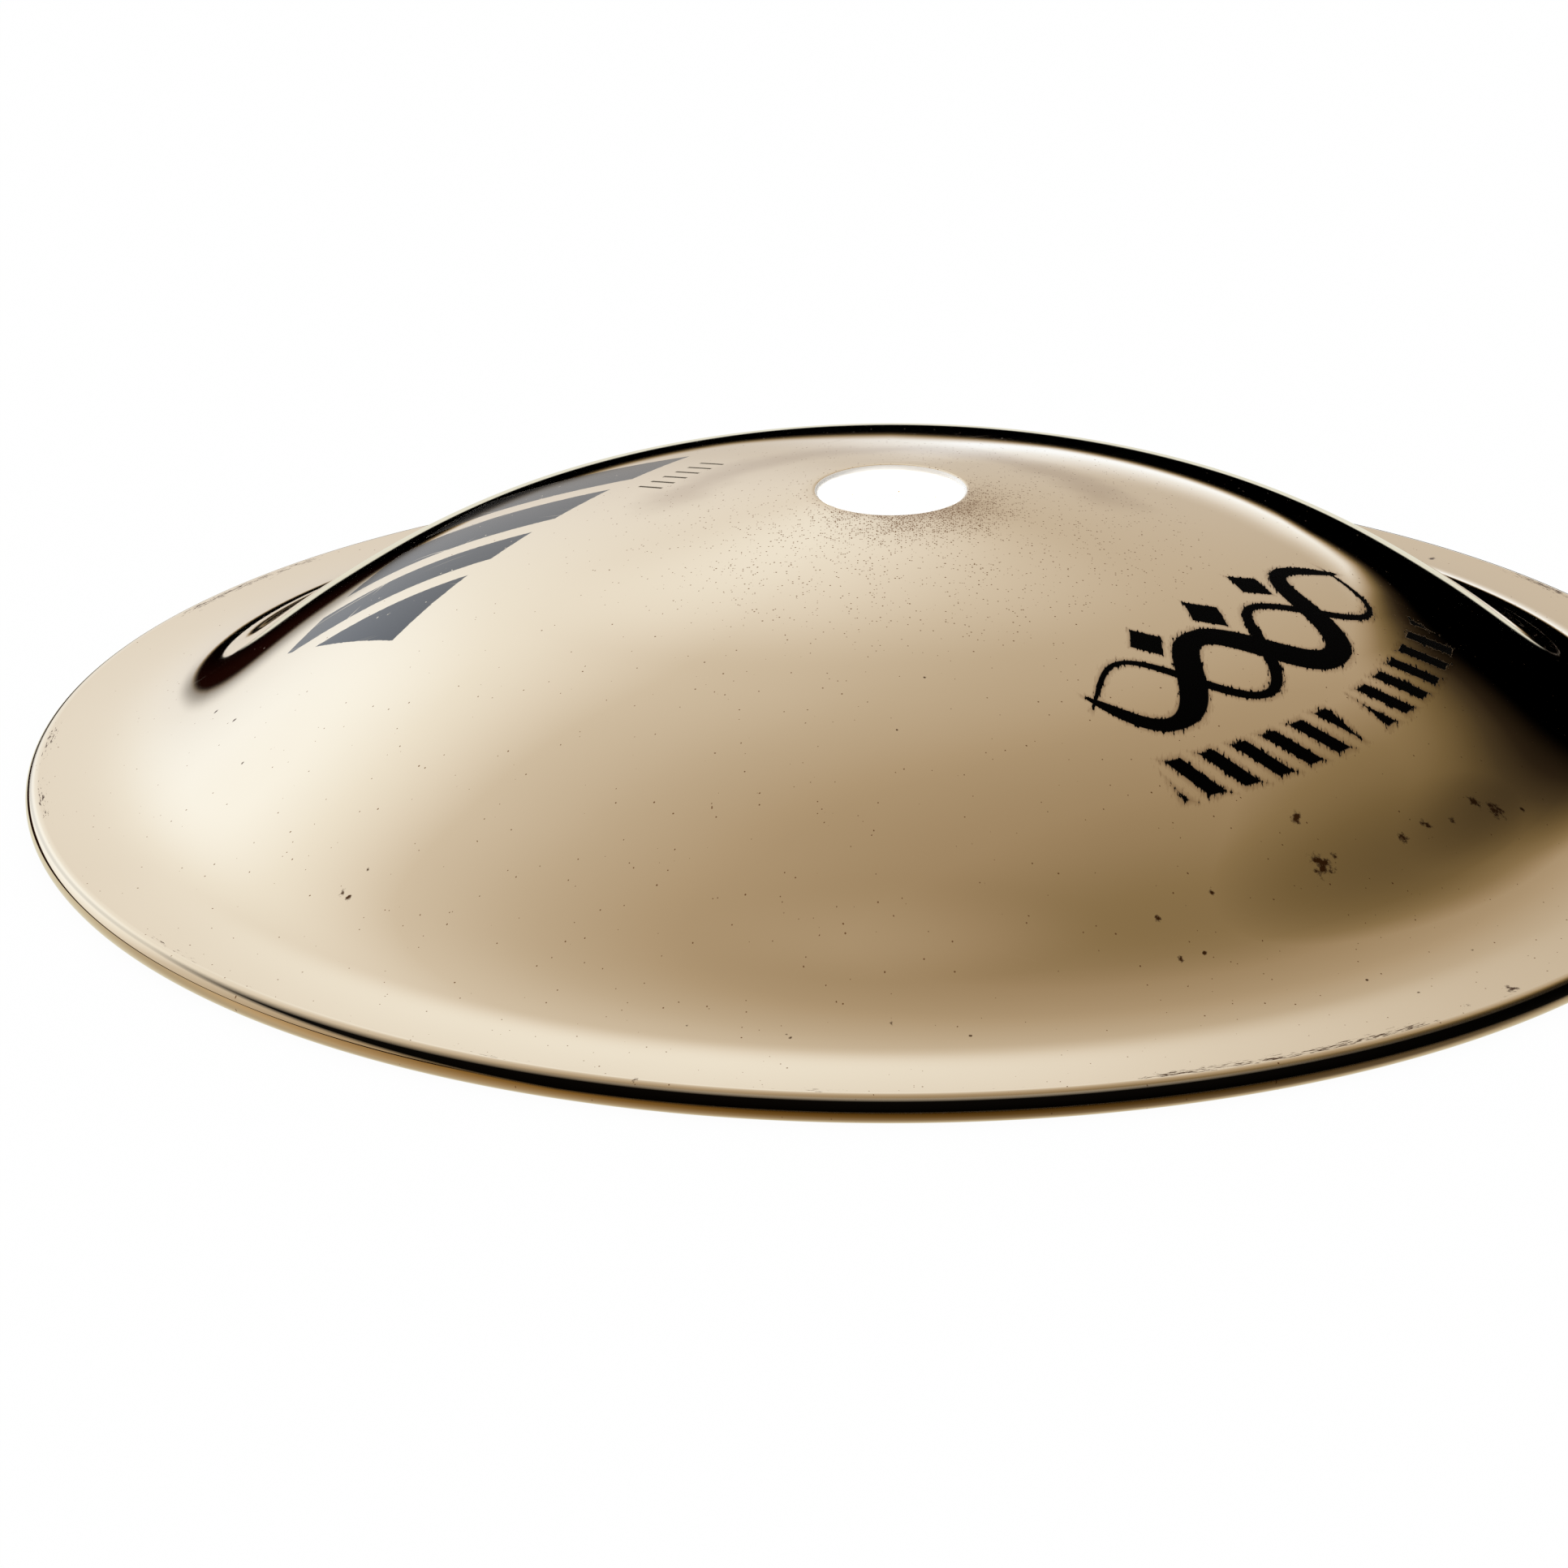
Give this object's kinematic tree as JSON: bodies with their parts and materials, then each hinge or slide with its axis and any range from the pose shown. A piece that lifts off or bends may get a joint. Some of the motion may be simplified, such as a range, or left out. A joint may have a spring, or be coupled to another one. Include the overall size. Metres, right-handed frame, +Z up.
{
  "type": "bell cymbal",
  "caption": "Small thick cast-bronze cymbal with a tall rounded dome, a narrow flared brim, a rounded edge and a plain round hole at the crown for a stand post.",
  "frame": {"origin": "on the cymbal's own axis, at the height of the flat land under its rim", "axes": "+Z up along the cymbal's own axis, from the rim towards the crown; the disc is the same all round, so +X and +Y are free"},
  "size_m": [0.1524, 0.1524, 0.0276],
  "materials": {
    "polished_bronze": "polished"
  },
  "bodies": {
    "root": {"bell_cymbal": "polished_bronze"}
  },
  "joints": []
}
